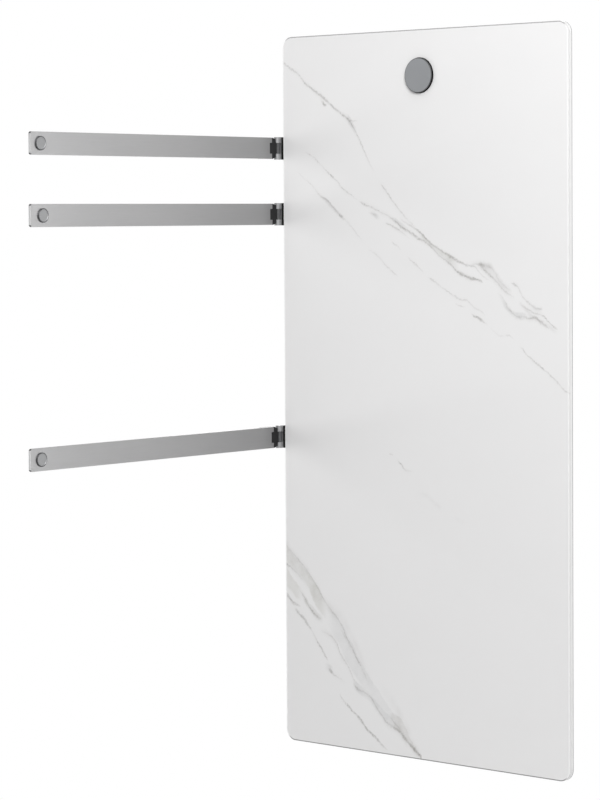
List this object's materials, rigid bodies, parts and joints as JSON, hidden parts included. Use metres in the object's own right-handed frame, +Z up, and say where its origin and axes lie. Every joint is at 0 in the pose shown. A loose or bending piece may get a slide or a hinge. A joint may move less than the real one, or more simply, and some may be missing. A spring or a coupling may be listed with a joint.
{
  "type": "electric towel warmer",
  "caption": "Wall-hung electric towel warmer: a white stone-look heated panel with flat brushed-steel towel arms that swing out on side hinges, and a round push button.",
  "frame": {"origin": "centre of the four wall-fixing holes, on the wall plane", "axes": "+Z up along the panel's height, +Y back to the wall, +X right along the panel"},
  "size_m": [0.6145, 0.6445, 1.2],
  "materials": {
    "stone": "satin white stone with warm grey veins",
    "seal": "matt grey bonding tape",
    "foil": "dark printed film",
    "board": "pressed mineral board",
    "rail_white": "white powder coat",
    "zinc_steel": "bright zinc plate",
    "cover_paint": "light grey fine-texture powder coat",
    "screw_steel": "zinc plated",
    "sensor": "epoxy bead",
    "cutout": "moulded case",
    "lead_red": "silicone sleeve",
    "housing_plastic": "fine-grain moulded",
    "circuit_board": "solder mask",
    "switch_black": "moulded",
    "terminal_green": "moulded",
    "gland_plastic": "moulded nylon",
    "bezel_black": "gloss black",
    "button_grey": "satin grey face with a polished dark rim",
    "plunger": "moulded",
    "hinge_steel": "satin",
    "gasket_rubber": "matt black",
    "pin_steel": "ground",
    "washer": "nylon",
    "arm_steel": "lengthwise brushed",
    "knuckle_dark": "satin black",
    "arm_screw_steel": "satin",
    "magnet_pad": "satin grey disc"
  },
  "bodies": {
    "panel": {"stone_slab": "stone", "edge_seal": "seal", "heating_foil": "foil", "insulation_board": "board", "hinge_rail": "rail_white", "right_rail": "rail_white", "top_rail": "rail_white", "bottom_rail": "rail_white", "upper_strap": "zinc_steel", "lower_strap": "zinc_steel", "back_cover": "cover_paint", "cover_screws": "screw_steel", "strike_discs": "zinc_steel", "temperature_sensor": "sensor", "thermal_cutout": "cutout", "foil_leads": "lead_red", "control_housing": "housing_plastic", "control_lid": "housing_plastic", "lid_screws": "screw_steel", "control_board": "circuit_board", "board_screws": "screw_steel", "push_switch": "switch_black", "relay": "switch_black", "terminal_block": "terminal_green", "cable_gland": "gland_plastic", "gland_nut": "gland_plastic", "button_bezel": "bezel_black", "upper_wall_rail": "zinc_steel", "lower_wall_rail": "zinc_steel", "hanging_hooks": "zinc_steel", "hook_screws": "screw_steel", "upper_hinge_base": "hinge_steel", "middle_hinge_base": "hinge_steel", "lower_hinge_base": "hinge_steel", "upper_hinge_gasket": "gasket_rubber", "middle_hinge_gasket": "gasket_rubber", "lower_hinge_gasket": "gasket_rubber", "upper_hinge_pin": "pin_steel", "middle_hinge_pin": "pin_steel", "lower_hinge_pin": "pin_steel", "hinge_washers": "washer", "hinge_screws": "screw_steel"},
    "upper_towel_arm": {"upper_arm": "arm_steel", "upper_knuckle": "knuckle_dark", "upper_arm_screws": "arm_screw_steel", "upper_magnet_pad": "magnet_pad"},
    "middle_towel_arm": {"middle_arm": "arm_steel", "middle_knuckle": "knuckle_dark", "middle_arm_screws": "arm_screw_steel", "middle_magnet_pad": "magnet_pad"},
    "lower_towel_arm": {"lower_arm": "arm_steel", "lower_knuckle": "knuckle_dark", "lower_arm_screws": "arm_screw_steel", "lower_magnet_pad": "magnet_pad"},
    "power_button": {"button_cap": "button_grey", "switch_plunger": "plunger"}
  },
  "joints": [
    {"name": "upper_arm_swing", "type": "hinge", "parent": "panel", "child": "upper_towel_arm", "pos_m": [-0.309, -0.0467, 0.412], "axis": [0, 0, 1], "range_deg": [-92.2, 87.8]},
    {"name": "middle_arm_swing", "type": "hinge", "parent": "panel", "child": "middle_towel_arm", "pos_m": [-0.309, -0.0467, 0.3], "axis": [0, 0, 1], "range_deg": [-92.1, 87.9]},
    {"name": "lower_arm_swing", "type": "hinge", "parent": "panel", "child": "lower_towel_arm", "pos_m": [-0.309, -0.0467, -0.08], "axis": [0, 0, 1], "range_deg": [-91.6, 88.4]},
    {"name": "button_press", "type": "slide", "parent": "panel", "child": "power_button", "axis": [0, 1, 0], "range_m": [0, 0.0015], "stiffness_N_per_m": 900, "springref_m": -0.0008}
  ]
}
